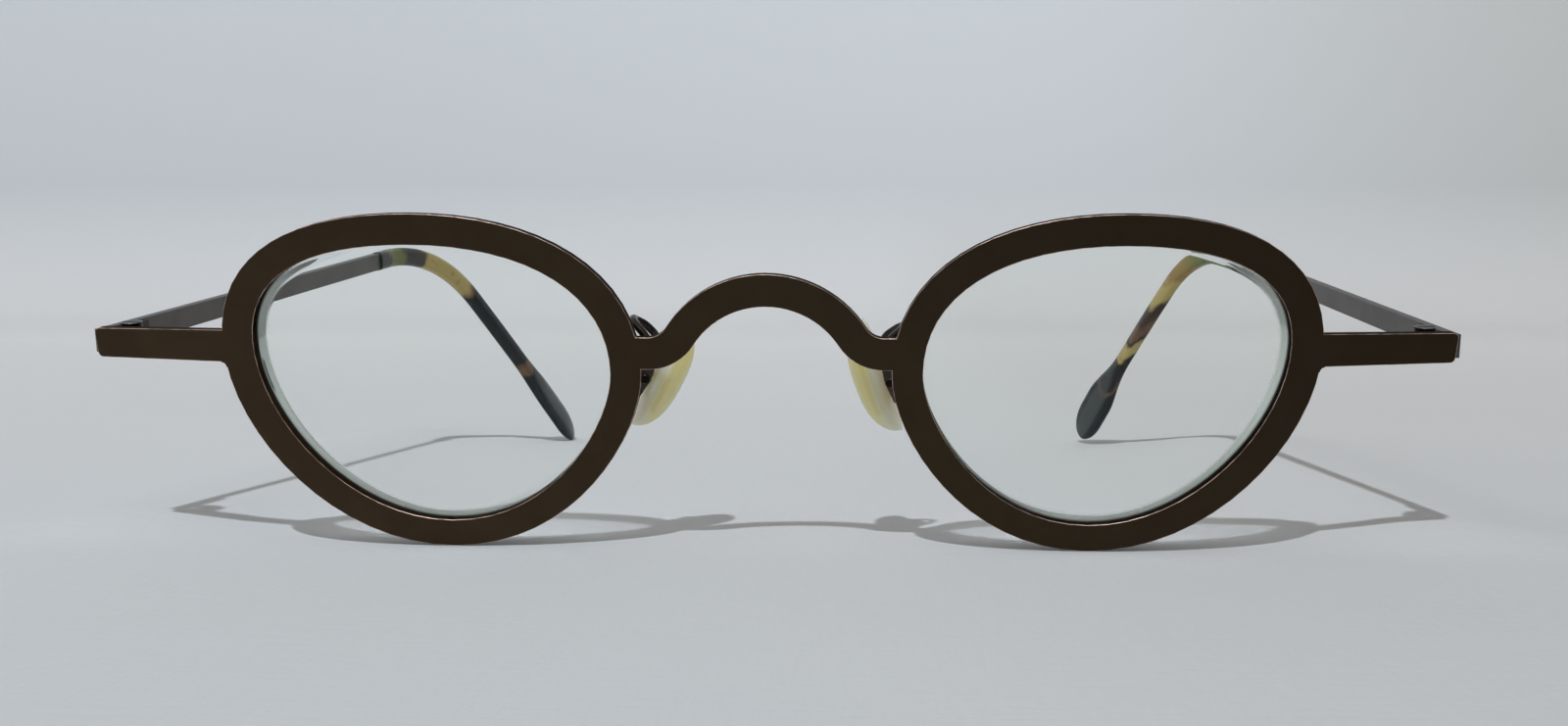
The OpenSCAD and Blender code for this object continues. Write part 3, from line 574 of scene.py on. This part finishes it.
def from_temple(p, temple):
    """A point of the straight temple, from its pivot, as a plate point."""
    turn, drop = (math.radians(a) for a in temple)
    c, s = math.cos(-drop), math.sin(-drop)
    x, y, z = p[0], p[1] * c - p[2] * s, p[1] * s + p[2] * c
    c, s = math.cos(turn), math.sin(turn)
    return (x * c - y * s + PIVOT[0], x * s + y * c + PIVOT[1], z + PIVOT[2])


def tip(side, flip, temple, slope, twist, bend, end_r):
    """Swells a little over the core and widens to the paddle, which twists and ends rounded."""
    count, steps, end_steps = 48, 130, 18
    half_t, half_h, more_h = 0.925, 1.37, (PADDLE_H - TIP_H) / 2
    end_at = TIP_LEN - end_r
    stops = [SLEEVE_AT + (end_at - SLEEVE_AT) * i / steps for i in range(steps)]
    stops += [end_at + end_r * math.sin(math.pi / 2 * i / end_steps) for i in range(end_steps + 1)]
    rings, along, broad = [], [], []
    for s in stops:
        wide = smooth((s - (TIP_LEN - PADDLE_LEN)) / (0.53 * PADDLE_LEN))
        swell = smooth((s - SLEEVE_AT) / 4)
        e = max(0.0, s - end_at) / end_r
        ended = math.sqrt(max(0.004, 1 - e * e))
        a = (half_t + 0.05 * swell) * (1 - 0.12 * wide) * ended
        b = (half_h + 0.005 * swell + more_h * wide) * ended
        d = (path(s + 0.05, slope, bend) - path(s - 0.05, slope, bend)).normalized()
        upright = Vector((0, math.sin(turned(s, bend)), math.cos(turned(s, bend))))
        out = d.cross(upright).normalized()
        up = out.cross(d)
        w, middle = math.radians(twist * wide), path(s, slope, bend)
        thick = (out * math.cos(w) + up * math.sin(w)) * a
        tall = (up * math.cos(w) - out * math.sin(w)) * b
        ring = []
        for i in range(count):
            g = 2 * math.pi * (i + 0.5) / count
            p = middle + thick * soft(math.cos(g), 0.7) + tall * soft(math.sin(g), 0.75)
            ring.append(from_temple(p, temple))
            along.append(s)
            broad.append(math.cos(g))
        rings.append(ring)
    skinned(side + "_tip_moulded", rings, side + "_temple", side + "_temple_tip",
            TIP_PAINT[side], flip, 50, [("along", along), ("broad", broad)])


# ---- Nose pads and their arms ----
def from_pad(p, pivot, tilt):
    """A point of the upright pad, from its pivot, as a plate point."""
    c, s = math.cos(-PAD_SPLAY), math.sin(-PAD_SPLAY)
    q = (p[0] * c - p[1] * s, p[0] * s + p[1] * c, p[2])
    c, s = math.cos(math.radians(tilt)), math.sin(math.radians(tilt))
    return (q[0] * c - q[2] * s + pivot[0], q[1] + pivot[1], q[0] * s + q[2] * c + pivot[2])


def nose_pad(side, flip, pad):
    """Flat behind and rounded in front, with the depth and height that its layers go by."""
    count, steps = 48, 48
    rings, depth, height = [], [], []
    for i in range(steps + 1):
        h = -math.cos(math.radians(2 + 176 * i / steps)) * PAD_LEN / 2
        k = abs(2 * h / PAD_LEN)
        w, t = PAD_WIDE / 2 * math.sqrt(1 - k ** 2.4), PAD_THICK * math.sqrt(1 - k ** 2.6)
        ring = []
        for j in range(count):
            a = 2 * math.pi * j / count
            deep = t * ((1 + math.sin(a)) / 2) ** 1.6
            ring.append(from_pad((-PAD_OFF - deep, w * math.cos(a), h + PAD_RISE), *pad))
            depth.append(deep)
            height.append(h)
        rings.append(ring)
    skinned(side + "_pad_moulded", rings, side + "_pad", side + "_nose_pad",
            SILICONE, flip, 70, [("depth", depth), ("height", height)])


def spline(p, i, f):
    """The point a fraction f on from p[i], on a smooth curve through all of p."""
    a, b, c, d = p[max(0, i - 1)], p[i], p[i + 1], p[min(len(p) - 1, i + 2)]
    return (b + (c - a) / 2 * f + (a - 2.5 * b + 2 * c - d / 2) * f * f
            + (-a / 2 + 1.5 * b - 1.5 * c + d / 2) * f ** 3)


# An arm's foot on the plate: under the middle of the arc that flares from the bridge to the notch
ARCH_OUT = BRIDGE_R + BRIDGE_W
ARCH_Z, FLARE_Z = BRIDGE_TOP - ARCH_OUT, NOTCH_Z + NOTCH_R
FLARE_X = math.sqrt((ARCH_OUT + NOTCH_R) ** 2 - (FLARE_Z - ARCH_Z) ** 2)
FOOT = Vector((FLARE_X - 0.5, PLATE_T, NOTCH_Z - BRIDGE_W / 2))


def pad_arm(side, flip, pad, reach, rise):
    """A wire that leaves the plate, loops by reach and rise, and comes down into the pad's box."""
    count, steps = 20, 10
    top = Vector(from_pad((0.35, 0, 1.6), *pad))
    over = Vector(from_pad((0.35, 0, 2.6), *pad))
    route = [FOOT]
    route += [FOOT + Vector(v) for v in ((0.1, 0.8, 0.1), (0.45 * reach, 2.1, 0.5 * rise),
                                         (0.85 * reach, 3.3, 0.88 * rise))]
    route += [Vector((FOOT[0] + a * reach, PAD_Y - back, FOOT[2] + b * rise))
              for a, back, b in ((1, 1.7, 1), (0.95, 0.9, 0.9), (0.6, 0.35, 0.6))]
    route += [Vector((over[0] - 0.35, PAD_Y, FOOT[2] + 0.2 * rise - 0.4)), over, top]
    line = [spline(route, i, k / steps) for i in range(len(route) - 1) for k in range(steps)]
    line.append(top)
    angles = [2 * math.pi * k / count for k in range(count)]
    rings = []
    for i, at in enumerate(line):
        d = (line[min(i + 1, len(line) - 1)] - line[max(i - 1, 0)]).normalized()
        s = d.cross(Vector((0.6, 0, 0.8))).normalized()
        u = d.cross(s)
        rings.append([at + WIRE_R * (s * math.cos(g) + u * math.sin(g)) for g in angles])
    skinned(side + "_arm_drawn", rings, "front", side + "_pad_arm", WIRE, flip, 60)


eased("front_plate", 0.18, "front", BRONZE)
for side, at in SIDES.items():
    flip = at["flip"]
    temple, pad = side + "_temple", side + "_pad"
    lens(side, flip)
    eyewire(side, flip)
    tip(side, flip, at["temple"], at["slope"], at["twist"], at["bend"], at["end_r"])
    nose_pad(side, flip, at["pad"])
    pad_arm(side, flip, at["pad"], *at["arm"])
    for part, width, body, slot, paint in (
        ("_rim_lock_upper", 0.1, "front", "frame_metal", GUNMETAL),
        ("_rim_lock_lower", 0.1, "front", "frame_metal", GUNMETAL),
        ("_rim_lock_screw", 0.04, "front", "screw_steel", SCREW),
        ("_pad_box", 0.1, "front", "arm_wire", WIRE),
        ("_pad_screw", 0.05, "front", "screw_steel", SCREW),
        ("_pad_insert", 0.04, pad, "insert_metal", INSERT),
        ("_hinge_front", 0.06, "front", "frame_metal", HINGE),
        ("_hinge_screw", 0.05, "front", "screw_steel", SCREW),
        ("_hinge_temple", 0.06, temple, "frame_metal", HINGE),
        ("_temple", 0.12, temple, "temple_metal", GUNMETAL),
    ):
        eased(side + part, width, body, paint)


# ---- Floor, backdrop and light, in metres ----
def fold(x, y):
    """Height of two low folds that run back through the cloth, beside the glasses."""
    across = math.exp(-((abs(x) - 0.073) / 0.012) ** 2)
    return 0.0021 * across * smooth((y + 0.062) / 0.016) * smooth((0.085 - y) / 0.03)


def pale_cloth():
    """Cloth that gets lighter to the back, with painted shade that dulls it to the right, and its
    own tone where it rises to the backdrop, which painted shade darkens to the right."""
    p = Paint("pale_cloth", Roughness=0.95, Specular_IOR_Level=0.1)
    at = p.axes()
    cloth = p.mix(p.span(at["Y"], 0.0, 1.0, -0.12, 0.55), (0.70, 0.718, 0.745, 1),
                  (0.93, 0.935, 0.955, 1))
    cloth = p.mix(p.rise(p.noise(9, 3), 0.3, 0.7, 0.0, 0.05), cloth, (1, 1, 1, 1))
    # Painted shade: the floor dulls and warms to the right.
    shade_to_right = p.span(at["X"], 0.0, 1.0, -0.01, 0.08)
    cloth = p.mix(p.rise(shade_to_right, 0.0, 1.0, 0.0, 0.1), cloth, (0.33, 0.2, 0.05, 1))
    # Painted shade: the backdrop darkens to the right.
    wall = p.ramp(p.span(at["X"], 0.0, 1.0, -0.6, 0.8), [
        (0.0, (0.675, 0.70, 0.735)), (0.5, (0.71, 0.735, 0.77)), (1.0, (0.60, 0.605, 0.60))])
    p.set("Base Color", p.mix(p.span(at["Z"], 0.0, 1.0, 0.0, 0.12), cloth, wall))
    weave = p.maths("ADD", p.noise(900, 2, 0.5, stretch=(1, 0.2, 1)),
                    p.noise(900, 2, 0.5, stretch=(0.2, 1, 1)))
    p.bump(p.maths("ADD", weave, p.maths("MULTIPLY", p.noise(40, 2), 3.0)), 0.12, 0.5)
    return p.mat


def cloth_floor():
    """A pale cloth, level under the glasses and swept up far behind them."""
    side, near, flat, bend, high, count = 2.6, -2.6, 0.9, 0.7, 1.6, 16
    fine = [i * 0.004 - 0.14 for i in range(71)]
    line = [(near, 0.0)] + [(v, 0.0) for v in fine] + [(flat, 0.0)]
    for i in range(1, count + 1):
        a = math.pi / 2 * i / count
        line.append((flat + bend * math.sin(a), bend * (1 - math.cos(a))))
    line.append((flat + bend, high))
    wide = [-side] + fine + [side]
    points = [(x, y, z + fold(x, y)) for y, z in line for x in wide]
    n = len(wide)
    faces = [(j * n + i, j * n + i + 1, j * n + n + i + 1, j * n + n + i)
             for j in range(len(line) - 1) for i in range(n - 1)]
    mesh = bpy.data.meshes.new("floor")
    mesh.from_pydata(points, [], faces)
    for f in mesh.polygons:
        f.use_smooth = True
    mesh.materials.append(pale_cloth())
    obj = bpy.data.objects.new("floor", mesh)
    scene.collection.objects.link(obj)


LAMP_FAR, LAMP_UP, LAMP_LEFT, LAMP_R = 0.95, math.radians(48), math.radians(8), 0.013


def lamp(name, power):
    """A small lamp in front of the glasses, that gives the same light at any distance."""
    data = bpy.data.lights.new(name, "POINT")
    data.shadow_soft_size, data.energy, data.color = LAMP_R, power, (0.9, 0.955, 1.0)
    data.use_nodes = True
    tree = data.node_tree
    even = tree.nodes.new("ShaderNodeLightFalloff")
    even.inputs["Strength"].default_value = 1.0
    tree.links.new(even.outputs["Constant"], tree.nodes["Emission"].inputs["Strength"])
    obj = bpy.data.objects.new(name, data)
    scene.collection.objects.link(obj)
    obj.location = Vector((-math.sin(LAMP_LEFT) * math.cos(LAMP_UP),
                           -math.cos(LAMP_LEFT) * math.cos(LAMP_UP), math.sin(LAMP_UP))) * LAMP_FAR
    return obj


def key_light():
    """One lamp in two parts: the lenses shade the first and let the second through, as clear
    lenses do no more than dim the light behind them."""
    lamp("key_shaded", 8.5)
    solid = bpy.data.collections.new("casts_shade")
    for obj in scene.objects:
        if obj.type == "MESH" and "_lens" not in obj.name:
            solid.objects.link(obj)
    lamp("key_through", 12.0).light_linking.blocker_collection = solid


def soft_room(dark_side, light_side):
    """Even light from all round, stronger from the left."""
    world = bpy.data.worlds.new("studio")
    scene.world = world
    world.use_nodes = True
    tree, sky = world.node_tree, world.node_tree.nodes["Background"]
    toward = tree.nodes.new("ShaderNodeTexCoord")
    split = tree.nodes.new("ShaderNodeSeparateXYZ")
    level = tree.nodes.new("ShaderNodeMapRange")
    tree.links.new(toward.outputs["Generated"], split.inputs[0])
    tree.links.new(split.outputs["X"], level.inputs["Value"])
    for key, value in (("From Min", 0.5), ("From Max", -0.5), ("To Min", dark_side),
                       ("To Max", light_side)):
        level.inputs[key].default_value = value
    tree.links.new(level.outputs[0], sky.inputs["Strength"])
    sky.inputs["Color"].default_value = (1.0, 0.987, 0.94, 1)


cloth_floor()
key_light()
soft_room(0.21, 0.46)
scene.view_settings.view_transform = "Standard"
